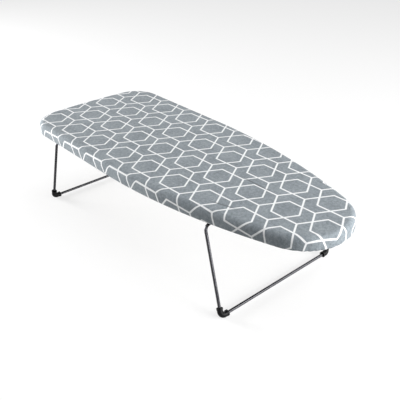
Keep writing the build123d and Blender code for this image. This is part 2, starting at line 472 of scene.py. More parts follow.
@dataclass(frozen=True)
class Crease:
    """Short slack fold in the cover's top, in plan; painted shade darkens its bottom, fully over a share of its size.
    """

    start: Pair
    end: Pair
    depth: float
    width: float = 2.4 * MM
    painted_shade_length: float = 0.2
    painted_shade_width: float = 0.3

    def depth_at(self, point: Vector) -> float:
        """How far the fold sinks the cloth.

        Args:
            point: Plan point on the top.

        Returns:
            The depth there, in metres.
        """
        first = Vector(self.start)
        run = Vector(self.end) - first
        share = min(max((point - first).dot(run) / run.length_squared, 0.0), 1.0)
        aside = (point - first - run * share).length / self.width
        return self.depth * math.sin(math.pi * share) * math.exp(-aside * aside)

    def shade(self, lengthwise: Value, crosswise: Value) -> Value:
        """Mask of the painted shade at the fold's bottom.

        Args:
            lengthwise: Place on the unfolded cloth along the board, in metres.
            crosswise: Place on the unfolded cloth across the board, in metres.

        Returns:
            One at the middle of the fold, falling to zero at its ends and sides.
        """
        run = Vector(self.end) - Vector(self.start)
        length, middle = run.length, (Vector(self.end) + Vector(self.start)) / 2
        cosine, sine = run.x / length, run.y / length
        x, y = lengthwise - middle.x, crosswise - middle.y
        past_middle = abs(x * cosine + y * sine).clip(length * self.painted_shade_length, length / 2)
        past_bottom = abs(y * cosine - x * sine).clip(self.width * self.painted_shade_width, self.width)
        return (1.0 - past_middle) * (1.0 - past_bottom)


@dataclass(frozen=True)
class PrintedCotton:
    """Woven cotton of the cover, grey with a white print.

    Ink, painted fold shade and roughness are a level and the spread that noise adds to it. A stitch's length
    and width are measured from its middle, to where it starts to fade and to where it ends.
    """

    name: str = "printed_cotton"
    ground: Color = srgb(151, 159, 164)
    deep: Color = srgb(112, 120, 126)
    # Colour of the painted shade in the bottoms of the creases.
    fold: Color = srgb(84, 90, 95)
    white: Color = srgb(244, 245, 246)
    thread: Color = srgb(214, 217, 220)
    blotches: float = 28.0
    mottles: float = 190.0
    slubs: float = 620.0
    threads: float = 1500.0
    tone_shares: Triple = (0.25, 0.4, 0.35)
    tone_range: Pair = (0.38, 0.62)
    ink: Pair = (0.82, 0.2)
    painted_fold_shade: Pair = (0.45, 0.5)
    weave_share: float = 0.6
    rough: Pair = (0.78, 0.1)
    stitch_pitch: float = 3.2 * MM
    stitch_length: Pair = (0.32, 0.4)
    stitch_width: Pair = (0.28 * MM, 0.42 * MM)
    print_design: HexagonPrint = HexagonPrint()

    def make(self, seam_at: float, creases: Iterable[Crease]) -> bpy.types.Material:
        """Build the material.

        Args:
            seam_at: Length of cloth from the flat top to the hem's row of stitches.
            creases: Slack folds in the top, whose bottoms get painted shade.

        Returns:
            A cloth that reads its print and weave from the piece's unfolded map, and its stitches
            from the seam map.
        """
        graph = Surface(self.name)
        unfolded, lengthwise, crosswise = graph.map_place(Cover.UNFOLDED)
        lengthwise = lengthwise - Cover.UNFOLDED_MIDDLE
        crosswise = crosswise - Cover.UNFOLDED_MIDDLE
        blotch = graph.grain(unfolded, self.blotches, detail=4.0)
        mottle = graph.grain(unfolded, self.mottles)
        slub = graph.grain(unfolded, self.slubs)
        of_blotch, of_mottle, of_slub = self.tone_shares
        tone = blotch * of_blotch + mottle * of_mottle + slub * of_slub
        color = graph.mix(tone.clip(*self.tone_range), self.deep, self.ground)
        lines = self.print_design.mask(lengthwise, crosswise)
        color = graph.mix(lines * self._varied(self.ink, mottle), color, self.white)
        # Painted shade: each crease's bottom is blended towards the fold colour.
        shade = self._varied(self.painted_fold_shade, mottle)
        for crease in creases:
            color = graph.mix(crease.shade(lengthwise, crosswise) * shade, color, self.fold)
        stitches = self._stitches(graph, seam_at)
        color = graph.mix(stitches, color, self.thread)
        warp = (lengthwise * (self.threads * math.tau)).math("SINE")
        weft = (crosswise * (self.threads * math.tau)).math("SINE")
        weave = warp * weft * 0.5 + 0.5
        cloth = weave * self.weave_share + slub * (1 - self.weave_share)
        normal = graph.bump(cloth, depth=0.12 * MM, strength=0.35)
        normal = graph.bump(stitches, depth=0.4 * MM, strength=0.6, below=normal)
        normal = graph.bump(blotch, depth=1.2 * MM, strength=0.25, below=normal)
        graph.surface(
            Base_Color=color,
            Roughness=self._varied(self.rough, slub),
            Normal=normal,
            Specular_IOR_Level=0.12,
            Sheen_Weight=0.12,
            Sheen_Roughness=0.5,
        )
        return graph.material

    @staticmethod
    def _varied(level: Pair, grain: Value) -> Value:
        """Add noise to a level, by its spread."""
        return grain * level[1] + level[0]

    def _stitches(self, graph: Graph, seam_at: float) -> Value:
        """Row of stitches that closes the hem.

        Args:
            graph: Graph of the cloth's material.
            seam_at: Length of cloth from the flat top to the row.

        Returns:
            One on the stitches, zero between them.
        """
        _, run, length = graph.map_place(Cover.SEAM)
        dash = abs((run / self.stitch_pitch).math("FRACT") - 0.5)
        aside = abs(length - seam_at)
        return (1.0 - dash.clip(*self.stitch_length)) * (1.0 - aside.clip(*self.stitch_width))


@dataclass(frozen=True)
class KnittedTape:
    """Undyed knitted tape, for the elastic."""

    name: str = "elastic_tape"
    light: Color = srgb(236, 236, 232)
    dark: Color = srgb(214, 214, 208)
    slubs: float = 500.0
    ribs: float = 1400.0 / 6
    tone_range: Pair = (0.35, 0.65)

    def make(self) -> bpy.types.Material:
        """Build the material.

        Returns:
            A pale cloth with slanting ribs.
        """
        graph = Surface(self.name)
        place = graph.coordinates()
        slub = graph.grain(place, self.slubs)
        sockets = {"Vector": place, "Scale": self.ribs}
        knit = graph.value("ShaderNodeTexWave", {"bands_direction": "DIAGONAL"}, sockets)
        graph.surface(
            Base_Color=graph.mix(slub.clip(*self.tone_range), self.dark, self.light),
            Roughness=slub * 0.12 + 0.8,
            Normal=graph.bump(knit * 0.5 + slub * 0.5, depth=0.15 * MM, strength=0.4),
            Specular_IOR_Level=0.12,
            Sheen_Weight=0.1,
        )
        return graph.material


@dataclass(frozen=True)
class Foam:
    """Cream foam with open cells."""

    name: str = "foam_pad"
    light: Color = srgb(232, 226, 210)
    dark: Color = srgb(205, 196, 176)
    cells: float = 900.0
    patches: float = 60.0
    cell_shade_share: float = 0.6
    tone_range: Pair = (0.1, 0.7)

    def make(self) -> bpy.types.Material:
        """Build the material.

        Returns:
            A matt foam whose cells have painted shade in their depth.
        """
        graph = Surface(self.name)
        place = graph.coordinates()
        sockets = {"Vector": place, "Scale": self.cells}
        cell = graph.value("ShaderNodeTexVoronoi", {}, sockets, "Distance")
        patch = graph.grain(place, self.patches)
        # Tone: painted shade in the depth of each cell, mixed with random patches.
        tone = cell * self.cell_shade_share + patch * (1 - self.cell_shade_share)
        graph.surface(
            Base_Color=graph.mix(tone.clip(*self.tone_range), self.dark, self.light),
            Roughness=0.95,
            Normal=graph.bump(cell, depth=0.4 * MM, strength=0.5),
            Specular_IOR_Level=0.12,
        )
        return graph.material


@dataclass(frozen=True)
class Coated:
    """Sprayed or moulded surface: powder coat on steel, or satin plastic."""

    name: str
    light: Color
    dark: Color
    rough: float
    grain: float
    depth: float
    gloss: float = 0.5
    patches: float = 35.0
    worn_edge: Pair = (0.52, 0.6)
    tone_range: Pair = (0.15, 0.75)
    rough_spread: float = 0.14

    def make(self) -> bpy.types.Material:
        """Build the material.

        Returns:
            A grained surface, lighter in patches and along worn edges.
        """
        graph = Surface(self.name)
        place = graph.coordinates()
        skin = graph.grain(place, self.grain)
        patch = graph.grain(place, self.patches)
        pointed = graph.value("ShaderNodeNewGeometry", {}, {}, "Pointiness")
        tone = patch * 0.5 + pointed.clip(*self.worn_edge) * 0.5
        graph.surface(
            Base_Color=graph.mix(tone.clip(*self.tone_range), self.dark, self.light),
            Roughness=(patch - 0.5) * self.rough_spread + self.rough,
            Normal=graph.bump(skin, self.depth, strength=0.3),
            Specular_IOR_Level=self.gloss,
        )
        return graph.material


@dataclass(frozen=True)
class Plated:
    """Bright metal: dark plated wire, or zinc on pressed steel."""

    name: str
    light: Color
    dark: Color
    rough: float
    streaks: float
    patches: float = 22.0
    patch_share: float = 0.8
    tone_range: Pair = (0.3, 0.7)
    rough_spread: float = 0.12

    def make(self) -> bpy.types.Material:
        """Build the material.

        Returns:
            A metal with fine drawing marks and tarnish in patches.
        """
        graph = Surface(self.name)
        place = graph.coordinates()
        drawn = graph.grain(place, self.streaks, detail=4.0)
        tarnish = graph.grain(place, self.patches, detail=4.0)
        tone = drawn * (1 - self.patch_share) + tarnish * self.patch_share
        graph.surface(
            Base_Color=graph.mix(tone.clip(*self.tone_range), self.dark, self.light),
            Metallic=1.0,
            Roughness=(tone - 0.5) * self.rough_spread + self.rough,
            Normal=graph.bump(drawn, depth=0.02 * MM, strength=0.08),
        )
        return graph.material


# Shapes


def plan_noise(point: Vector, along: float, across: float, seed: float) -> float:
    """Smooth noise at a plan point, with its grains to the metre along and across the board."""
    return noise.noise(Vector((point.x * along, point.y * across, seed)))


def arc_points(center: Pair, radius: float, first: float, last: float, steps: int) -> list[Pair]:
    """Follow an arc in a section.

    Args:
        center: Inset and height of the arc's centre.
        radius: Radius of the arc.
        first: Angle where it starts, counted from inwards over up.
        last: Angle where it ends.
        steps: How many points it has after its start.

    Returns:
        Inset and height of each point after the start.
    """
    angles = [first + (last - first) * index / steps for index in range(1, steps + 1)]
    return [
        (center[0] + radius * math.cos(angle), center[1] + radius * math.sin(angle))
        for angle in angles
    ]


def line_points(start: Pair, end: Pair, steps: int) -> list[Pair]:
    """Follow a straight run in a section.

    Args:
        start: Inset and height where it starts.
        end: Inset and height where it ends.
        steps: How many points it has after its start.

    Returns:
        Inset and height of each point after the start.
    """
    shares = [index / steps for index in range(1, steps + 1)]
    return [tuple(a + (b - a) * share for a, b in zip(start, end)) for share in shares]


@dataclass(frozen=True)
class Outline:
    """Plan outline of the board, read along its left half from the rear middle to the nose tip."""

    length: float
    width: float
    nose_radius: float = 92.0 * MM
    corner_radius: float = 62.0 * MM
    rear_bow: float = 8.0 * MM
    straight_length: float = 290.0 * MM

    @cached_property
    def stretches(self) -> list[tuple]:
        """The half outline as arcs and a line, in order.

        Returns:
            Tuples of length, centre, radius, start angle and end angle; the line has its start as
            its centre, no radius, and its direction and length in place of the angles.
        """
        half_length, half = self.length / 2, self.width / 2
        nose_x = half_length - self.nose_radius
        taper_x = self.straight_length - half_length
        run = nose_x - taper_x
        side_radius = (run**2 + half**2 - self.nose_radius**2) / (2 * (half - self.nose_radius))
        nose_turn = math.atan2(side_radius - half, run)
        bow_radius = (half**2 + self.rear_bow**2) / (2 * self.rear_bow)
        bow_x = bow_radius - half_length
        corner_y = half - self.corner_radius
        corner_x = bow_x - math.sqrt((bow_radius - self.corner_radius) ** 2 - corner_y**2)
        corner_turn = math.atan2(corner_y, bow_x - corner_x)
        quarter, straight = math.pi / 2, math.pi
        arcs = [
            (Vector((bow_x, 0)), bow_radius, straight, straight - corner_turn),
            (Vector((corner_x, corner_y)), self.corner_radius, straight - corner_turn, quarter),
            (Vector((corner_x, half)), None, Vector((1, 0)), taper_x - corner_x),
            (Vector((taper_x, half - side_radius)), side_radius, quarter, nose_turn),
            (Vector((nose_x, 0)), self.nose_radius, nose_turn, 0.0),
        ]
        measured = []
        for center, radius, first, last in arcs:
            size = last if radius is None else radius * abs(last - first)
            measured.append((size, center, radius, first, last))
        return measured

    def half_perimeter(self) -> float:
        """Length of the left half of the outline."""
        return sum(stretch[0] for stretch in self.stretches)

    def corner_middle(self) -> float:
        """Distance from the rear middle to the middle of the rear corner."""
        sizes = [stretch[0] for stretch in self.stretches]
        return sizes[0] + sizes[1] / 2

    def at(self, distance: float) -> tuple[Vector, Vector, float]:
        """Point, outward normal and curvature at a distance from the rear middle.

        Args:
            distance: Metres along the left half; negative values read the mirrored right half.

        Returns:
            The point and its outward normal in plan, and one over the radius there.
        """
        left = abs(distance)
        *earlier, stretch = self.stretches
        for other in earlier:
            if left <= other[0]:
                stretch = other
                break
            left -= other[0]
        size, center, radius, first, last = stretch
        if radius is None:
            point, normal, curve = center + first * left, Vector((0, 1)), 0.0
        else:
            angle = first + (last - first) * left / size
            normal, curve = Vector((math.cos(angle), math.sin(angle))), 1 / radius
            point = center + normal * radius
        if distance < 0:
            point, normal = Vector((point.x, -point.y)), Vector((normal.x, -normal.y))
        return point, normal, curve

    def spaced(self, count: int) -> list[float]:
        """Space stations evenly all round.

        Args:
            count: How many stations.

        Returns:
            Their distances from the rear middle, negative on the right half.
        """
        half = self.half_perimeter()
        stations = [2 * half * index / count for index in range(count)]
        return [station if station <= half else station - 2 * half for station in stations]

    def inset_of(self, point: Vector, stations: list[float]) -> tuple[float, Vector]:
        """How far a plan point lies inside the outline.

        Args:
            point: Plan point.
            stations: Distances at which the outline is tested.

        Returns:
            The inset, negative outside, and the outward normal of the nearest edge.
        """
        nearest = None
        for station in stations:
            edge, normal, _ = self.at(station)
            inset = (edge - point).dot(normal)
            if nearest is None or inset < nearest[0]:
                nearest = (inset, normal)
        return nearest


@dataclass(frozen=True)
class Gathers:
    """Small folds that the elastic draws into the slack cloth, at the nose and at the rear corners.

    The straight sides have no slack, and none of the folds hang where the folded legs lie.
    """

    outline: Outline
    pitch: float = 13.0 * MM
    depth: float = 3.4 * MM
    pucker: float = 1.2 * MM
    pucker_height: float = 13.0 * MM
    full_inset: float = 9.0 * MM
    tight_radius: float = 92.0 * MM
    blend_steps: tuple[float, ...] = (-24.0 * MM, -12.0 * MM, 0.0, 12.0 * MM, 24.0 * MM)
    legs_front: float = 205.0 * MM
    legs_rear: float = -288.0 * MM
    clear_run: float = 30.0 * MM
    drift: float = 0.8
    drift_grain: float = 24.0
    size: float = 0.75
    size_spread: float = 0.5
    size_grain: float = 31.0
    crown: float = 0.8

    DRIFT_SEED = 1.7
    SIZE_SEED = 5.2

    def fold(self, station: float) -> float:
        """Size of the folds at a station.

        Args:
            station: Distance from the rear middle, negative on the right half.

        Returns:
            Zero in the creases between folds and on the straight sides, up to one on a crown.
        """
        lap = 2 * self.outline.half_perimeter()
        point = self.outline.at(station)[0]
        past_legs = max(point.x - self.legs_front, self.legs_rear - point.x) / self.clear_run
        if past_legs <= 0:
            return 0.0
        half = lap / 2
        near = [(station + step + half) % lap - half for step in self.blend_steps]
        bend = sum(self.outline.at(place)[2] for place in near) / len(near)
        strength = min(bend * self.tight_radius, 1.0) * min(past_legs, 1.0)
        drift = plan_noise(point, self.drift_grain, self.drift_grain, self.DRIFT_SEED)
        spread = plan_noise(point, self.size_grain, self.size_grain, self.SIZE_SEED)
        size = min(self.size + self.size_spread * spread, 1.0)
        turns = station * round(lap / self.pitch) / lap + self.drift * drift
        return strength * size * abs(math.sin(math.pi * turns)) ** self.crown

    def drop(self, station: float, inset: float) -> float:
        """How far the folds hang below the lip at an inset from the outline."""
        rise = min(inset / self.full_inset, 1.0)
        return self.depth * rise * rise * (3 - 2 * rise) * self.fold(station)

    def outward(self, station: float, height: float) -> float:
        """How far the folds pucker the skirt at a height above the lip."""
        return self.pucker * max(1 - height / self.pucker_height, 0.0) * self.fold(station)


def finish_piece(
    bm: bmesh.types.BMesh,
    name: str,
    material: bpy.types.Material,
    body: Body,
    slot: str,
    smooth: bool = True,
) -> bpy.types.Object:
    """Turn a bmesh into a piece that rides on a body.

    Args:
        bm: Mesh in the shared frame; it is freed.
        name: Name of the piece.
        material: Finish of the piece.
        body: Body that the piece moves with.
        slot: Material slot of the record that it takes its finish from.
        smooth: Whether faces are shaded smooth.

    Returns:
        The new object, at the origin.
    """
    mesh = bpy.data.meshes.new(name)
    for face in bm.faces:
        face.smooth = smooth
    bm.to_mesh(mesh)
    bm.free()
    piece = bpy.data.objects.new(name, mesh)
    bpy.context.scene.collection.objects.link(piece)
    mesh.materials.append(material)
    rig.ride(piece, body.value)
    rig.slot(piece, slot)
    LOG.info("%s: %d faces", name, len(mesh.polygons))
    return piece


def extrude_ring(
    bm: bmesh.types.BMesh, ring: list[bmesh.types.BMEdge]
) -> tuple[list[bmesh.types.BMEdge], list[bmesh.types.BMVert]]:
    """Extrude a ring of edges, in place.

    Args:
        bm: Mesh that holds the ring.
        ring: Edges of the ring.

    Returns:
        The edges and the vertices of the new ring.
    """
    made = bmesh.ops.extrude_edge_only(bm, edges=ring)["geom"]
    edges = [item for item in made if isinstance(item, bmesh.types.BMEdge)]
    verts = [item for item in made if isinstance(item, bmesh.types.BMVert)]
    return edges, verts


def sweep_ring(
    bm: bmesh.types.BMesh,
    outline: Outline,
    section: list[Pair],
    count: int,
    gathers: Gathers | None = None,
) -> list[list[bmesh.types.BMEdge]]:
    """Run a section round the outline.

    Args:
        bm: Mesh that gets the rings and the faces between them.
        outline: Outline that the section follows.
        section: Inset and height of each point of the section, in order.
        count: How many stations each ring has.
        gathers: Folds that carry the section down with them.

    Returns:
        The edges of the first and of the last ring.
    """
    station_layer = bm.verts.layers.float.new("station")
    verts = []
    for station in outline.spaced(count):
        vert = bm.verts.new((0.0, 0.0, 0.0))
        vert[station_layer] = station
        verts.append(vert)
    first = [bm.edges.new((verts[index - 1], verts[index])) for index in range(count)]
    ring = first
    for index, (inset, height) in enumerate(section):
        if index:
            ring, verts = extrude_ring(bm, ring)
        for vert in verts:
            point, normal, _ = outline.at(vert[station_layer])
            plan = point - normal * inset
            drop = gathers.drop(vert[station_layer], inset) if gathers else 0.0
            vert.co = Vector((plan.x, plan.y, height - drop))
    return [first, ring]


# Sub-assemblies


class ClothLayers(NamedTuple):
    """Numbers that each vertex of the cover carries while it is shaped."""

    station: bmesh.types.BMLayerItem
    length: bmesh.types.BMLayerItem
    unfold_x: bmesh.types.BMLayerItem
    unfold_y: bmesh.types.BMLayerItem

    @classmethod
    def add_to(cls, bm: bmesh.types.BMesh) -> "ClothLayers":
        """Add the layers to a mesh."""
        return cls(*(bm.verts.layers.float.new(name) for name in cls._fields))


@dataclass
class Cover:
    """Printed cover: flat top, rounded edge, skirt, and a hem drawn in under the rim."""

    outline: Outline
    gathers: Gathers
    top: float
    bottom: float
    edge_radius: float = 11.0 * MM
    hem_edge_radius: float = 5.0 * MM
    hem_reach: float = 28.0 * MM
    casing_height: float = 3.6 * MM
    casing_width: float = 8.4 * MM
    cloth: float = 0.7 * MM
    cells_long: int = 186
    cells_wide: int = 130
    edge_steps: int = 9
    skirt_steps: int = 4
    hem_edge_steps: int = 5
    lip_steps: int = 7
    turn_steps: int = 5
    casing_steps: int = 3
    ripple: float = 0.3 * MM
    ripple_grains: Pair = (14.0, 22.0)
    # Each crease dents the top and gets painted shade in its bottom.
    creases: tuple[Crease, ...] = (
        Crease((0.136, 0.0036), (0.210, 0.0022), 0.5 * MM),
        Crease((0.158, -0.098), (0.215, -0.080), 0.3 * MM),
    )
    finish: PrintedCotton = field(default_factory=PrintedCotton)

    UNFOLDED = "unfolded"
    UNFOLDED_MIDDLE = 0.5
    SEAM = "seam"
    ON_EDGE = 1e-6
    NOSE_SHARE = 0.75
    AREA_STATIONS = 400
    RIPPLE_SEED = 0.3

    def profile(self) -> list[Triple]:
        """Section of the cover's edge, from the flat top round to the hem's turned end.

        Returns:
            Tuples of inset from the outline, height, and length of cloth from the flat top.
        """
        quarter, straight = math.pi / 2, math.pi
        edge, hem_edge, turn = self.edge_radius, self.hem_edge_radius, self.casing_height / 2
        lip_end = self.hem_reach - turn
        casing_end = self.hem_reach - self.casing_width
        casing_top = self.bottom + self.casing_height
        skirt = (0.0, self.top - edge), (0.0, self.bottom + hem_edge)
        lip = (hem_edge, self.bottom), (lip_end, self.bottom)
        casing = (lip_end, casing_top), (casing_end, casing_top)
        points = [
            *arc_points((edge, self.top - edge), edge, quarter, straight, self.edge_steps),
            *line_points(*skirt, self.skirt_steps),
            *arc_points(
                (hem_edge, self.bottom + hem_edge), hem_edge, straight, 3 * quarter, self.hem_edge_steps
            ),
            *line_points(*lip, self.lip_steps),
            *arc_points((lip_end, self.bottom + turn), turn, -quarter, quarter, self.turn_steps),
            *line_points(*casing, self.casing_steps),
            (casing_end - turn, self.bottom + turn),
        ]
        measured, length, last = [], 0.0, Vector((edge, self.top))
        for inset, height in points:
            here = Vector((inset, height))
            length += (here - last).length
            last = here
            measured.append((inset, height, length))
        return measured

    def flat_size(self) -> Triple:
        """Size of the cover's cut, before it was sewn and drawn in.

        Returns:
            Its width, its length and its area.
        """
        allowance = self.profile()[-1][2] - self.edge_radius
        ring = []
        for station in self.outline.spaced(self.AREA_STATIONS):
            point, normal, _ = self.outline.at(station)
            ring.append(point + normal * allowance)
        area = 0.0
        for index, point in enumerate(ring):
            before = ring[index - 1]
            area += (before.y * point.x - before.x * point.y) / 2
        width, length = self.outline.width, self.outline.length
        return width + 2 * allowance, length + 2 * allowance, abs(area)

    def build(self) -> bpy.types.Object:
        """Model the cover and dress it.

        Returns:
            The cover, which stands for the cover and its hem casing.
        """
        bm = bmesh.new()
        layers = ClothLayers.add_to(bm)
        bmesh.ops.create_grid(
            bm, x_segments=self.cells_long, y_segments=self.cells_wide, size=1.0
        )
        self._lay_top(bm, layers)
        self._hang_edge(bm, layers)
        bmesh.ops.recalc_face_normals(bm, faces=bm.faces)
        self._map_cloth(bm, layers)
        casing_end = self.hem_reach - self.casing_width
        seam_at = next(length for inset, _, length in self.profile() if inset > casing_end)
        material = self.finish.make(seam_at, self.creases)
        piece = finish_piece(bm, "printed_cover", material, Body.BOARD, "printed_cotton")
        wall = piece.modifiers.new("cloth", "SOLIDIFY")
        wall.thickness = self.cloth
        wall.offset = -1.0
        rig.replaces(piece, "cover", "hem_casing")
        width, length, area = self.flat_size()
        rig.sheet(piece, flat=(width, length), held="stretched", rests_on=["pad", "rim_frame"], area=area)
        return piece

    def _lay_top(self, bm: bmesh.types.BMesh, layers: ClothLayers) -> None:
        """Spread a square grid over the flat top, edge to edge, and ripple it slightly.

        Args:
            bm: Mesh that holds the grid, from -1 to 1 both ways.
            layers: Layers that get the stations of the edge and the unfolded places.
        """
        rear = self.outline.corner_middle()
        total = self.outline.half_perimeter()
        nose = total - self.outline.nose_radius * self.NOSE_SHARE

        def edge(station: float) -> Vector:
            """Edge of the flat top at a station."""
            point, normal, _ = self.outline.at(station)
            return point - normal * self.edge_radius

        def rear_station(v: float) -> float:
            """Station on the rear edge, from right to left."""
            return rear * (2 * v - 1)

        def nose_station(v: float) -> float:
            """Station on the nose, from right to left."""
            reach = (total - nose) * (1 - abs(2 * v - 1))
            return math.copysign(nose + reach, v - 0.5)

        def side_station(u: float) -> float:
            """Station on the left side, from rear to nose."""
            return rear + (nose - rear) * u

        corners = [edge(-rear), edge(rear), edge(-nose), edge(nose)]
        for vert in bm.verts:
            u, v = (vert.co.x + 1) / 2, (vert.co.y + 1) / 2
            right, left = edge(-side_station(u)), edge(side_station(u))
            back, front = edge(rear_station(v)), edge(nose_station(v))
            spread = (
                right * (1 - v) + left * v + back * (1 - u) + front * u
                - corners[0] * ((1 - u) * (1 - v)) - corners[1] * ((1 - u) * v)
                - corners[2] * (u * (1 - v)) - corners[3] * (u * v)
            )
            station = None
            if v > 1 - self.ON_EDGE:
                station = side_station(u)
            elif v < self.ON_EDGE:
                station = -side_station(u)
            elif u < self.ON_EDGE:
                station = rear_station(v)
            elif u > 1 - self.ON_EDGE:
                station = nose_station(v)
            vert[layers.unfold_x], vert[layers.unfold_y] = spread
            vert.co = Vector((spread.x, spread.y, self.top))
            if station is None:
                vert.co.z -= self._top_ripple(spread)
            else:
                vert[layers.station] = station

    def _top_ripple(self, point: Vector) -> float:
        """Depth of the slack ripples and creases in the top at a plan point."""
        wave = plan_noise(point, *self.ripple_grains, self.RIPPLE_SEED)
        return self.ripple * (0.5 + 0.5 * wave) + sum(crease.depth_at(point) for crease in self.creases)

    def _hang_edge(self, bm: bmesh.types.BMesh, layers: ClothLayers) -> None:
        """Carry the cloth on from the flat top, over the edge, down the skirt and round the hem.

        Args:
            bm: Mesh that holds the top.
            layers: Layers with the stations, which get the lengths and the unfolded places.
        """
        ring = [edge for edge in bm.edges if edge.is_boundary]
        for inset, height, length in self.profile():
            ring, verts = extrude_ring(bm, ring)
            under = height <= self.bottom + self.hem_edge_radius
            for vert in verts:
                station = vert[layers.station]
                point, normal, _ = self.outline.at(station)
                plan = point - normal * (inset - self.gathers.outward(station, height - self.bottom))
                drop = self.gathers.drop(station, inset) if under else 0.0
                vert.co = Vector((plan.x, plan.y, height - drop))
                vert[layers.length] = length
                unfolded = point + normal * (length - self.edge_radius)
                vert[layers.unfold_x], vert[layers.unfold_y] = unfolded

    def _map_cloth(self, bm: bmesh.types.BMesh, layers: ClothLayers) -> None:
        """Add the map of the unfolded cloth, and the map along the seam.

        Args:
            bm: Mesh of the whole cover.
            layers: Layers with the stations, the lengths and the unfolded places.
        """
        cloth = bm.loops.layers.uv.new(self.UNFOLDED)
        seam = bm.loops.layers.uv.new(self.SEAM)
        lap = 2 * self.outline.half_perimeter()
        middle = self.UNFOLDED_MIDDLE
        for face in bm.faces:
            stations = [loop.vert[layers.station] for loop in face.loops]
            over_nose = max(stations) - min(stations) > lap / 2
            for loop, station in zip(face.loops, stations):
                vert = loop.vert
                run = station + lap if over_nose and station < 0 else station
                loop[cloth].uv = (vert[layers.unfold_x] + middle, vert[layers.unfold_y] + middle)
                loop[seam].uv = (run, vert[layers.length])


@dataclass
class Pad:
    """Foam sheet under the cover, rounded over at its edge."""

    outline: Outline
    top: float
    bottom: float
    edge_radius: float = 9.6 * MM
    inset: float = 1.5 * MM
    stations: int = 420
    steps: int = 7
    finish: Foam = field(default_factory=Foam)

    def build(self) -> bpy.types.Object:
        """Model the pad and dress it.

        Returns:
            The pad, which stands for the pad's solid.
        """
        center = self.top - self.edge_radius
        low = math.acos(min((self.bottom - center) / self.edge_radius, 1.0))
        section = []
        for index in range(self.steps + 1):
            angle = low * (1 - index / self.steps)
            inset = self.inset + self.edge_radius * (1 - math.sin(angle))
            section.append((inset, center + self.edge_radius * math.cos(angle)))
        bm = bmesh.new()
        for ring in sweep_ring(bm, self.outline, section, self.stations):
            bmesh.ops.contextual_create(bm, geom=ring)
        bmesh.ops.recalc_face_normals(bm, faces=bm.faces)
        piece = finish_piece(bm, "foam_pad", self.finish.make(), Body.BOARD, "foam_pad")
        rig.replaces(piece, "pad")
        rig.padded(piece, fill=0.9)
        return piece


@dataclass
class Elastic:
    """Knitted elastic inside the hem's casing, with a raised cord along each side."""

    outline: Outline
    gathers: Gathers
    outer: float
    bottom: float
    top: float
    width: float = 6.0 * MM
    cord_share: float = 1 / 6
    stations: int = 640
    finish: KnittedTape = field(default_factory=KnittedTape)

    def build(self) -> bpy.types.Object:
        """Model the tape and dress it.

        Returns:
            The tape, which stands for the elastic's solid.
        """
        inner = self.outer + self.width
        cord = self.width * self.cord_share
        face = self.top - (self.top - self.bottom) * self.cord_share
        section = [
            (self.outer, self.bottom),
            (self.outer, face),
            (self.outer + cord / 2, self.top),
            (self.outer + cord, face),
            (inner - cord, face),
            (inner - cord / 2, self.top),
            (inner, face),
            (inner, self.bottom),
        ]
        bm = bmesh.new()
        first, last = sweep_ring(bm, self.outline, section, self.stations, self.gathers)
        bmesh.ops.bridge_loops(bm, edges=first + last)
        bmesh.ops.recalc_face_normals(bm, faces=bm.faces)
        material = self.finish.make()
        piece = finish_piece(bm, "hem_elastic_tape", material, Body.BOARD, "elastic_tape", smooth=False)
        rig.replaces(piece, "hem_elastic")
        return piece


@dataclass
class Deck:
    """Expanded steel sheet: a net of slit and stretched diamonds inside a flat border."""

    outline: Outline
    top: float
    bottom: float
    finish: bpy.types.Material
    long_pitch: float = 26.0 * MM
    short_pitch: float = 13.0 * MM
    strand: float = 1.9 * MM
    edge: float = 2.2 * MM
    border: float = 17.0 * MM
    net_share: float = 0.8
    stations: int = 160

    def build(self) -> bpy.types.Object:
        """Model the net and its border, and dress them.

        Returns:
            The deck, which stands for the deck's solid.
        """
        bm = bmesh.new()
        self._net(bm)
        section = [
            (self.edge, self.bottom),
            (self.border, self.bottom),
            (self.border, self.top),
            (self.edge, self.top),
        ]
        first, last = sweep_ring(bm, self.outline, section, 2 * self.stations)
        bmesh.ops.bridge_loops(bm, edges=first + last)
        bmesh.ops.recalc_face_normals(bm, faces=bm.faces)
        piece = finish_piece(bm, "expanded_deck", self.finish, Body.BOARD, "painted_steel", smooth=False)
        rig.replaces(piece, "deck_mesh")
        return piece

    def _net(self, bm: bmesh.types.BMesh) -> None:
        """Turn a square grid on its corner, stretch it to diamonds, and leave the strands between them.

        Args:
            bm: Mesh that gets the net, a little thinner than the border.
        """
        cells = int(self.outline.length / self.short_pitch)
        side = 1.0 / math.sqrt(2)
        bmesh.ops.create_grid(bm, x_segments=cells, y_segments=cells, size=cells * side / 2)
        bmesh.ops.rotate(bm, verts=bm.verts, matrix=Matrix.Rotation(math.pi / 4, 3, "Z"))
        bmesh.ops.scale(bm, verts=bm.verts, vec=(self.long_pitch, self.short_pitch, 1.0))
        stations = self.outline.spaced(self.stations)
        outside = [
            face for face in bm.faces
            if self.outline.inset_of(face.calc_center_median().xy, stations)[0] < self.border / 2
        ]
        bmesh.ops.delete(bm, geom=outside, context="FACES")
        diamonds = list(bm.faces)
        bmesh.ops.inset_individual(
            bm, faces=diamonds, thickness=self.strand / 2, use_even_offset=True
        )
        bmesh.ops.delete(bm, geom=diamonds, context="FACES")
        for vert in bm.verts:
            inset, normal = self.outline.inset_of(vert.co.xy, stations)
            vert.co.xy -= normal * max(2 * self.edge - inset, 0.0)
        thickness = self.top - self.bottom
        below_top = thickness * (1 - self.net_share) / 2
        bmesh.ops.translate(bm, verts=bm.verts, vec=(0.0, 0.0, self.top - below_top))
        bmesh.ops.solidify(bm, geom=list(bm.faces), thickness=thickness * self.net_share)


def dress(node: str, material: bpy.types.Material) -> None:
    """Give a solid that keeps its shape its finish.

    Args:
        node: Name of the solid's node.
        material: The finish.
    """
    slots = frame["nodes"][node].data.materials
    slots.clear()
    slots.append(material)
    LOG.info("%s: %s", node, material.name)


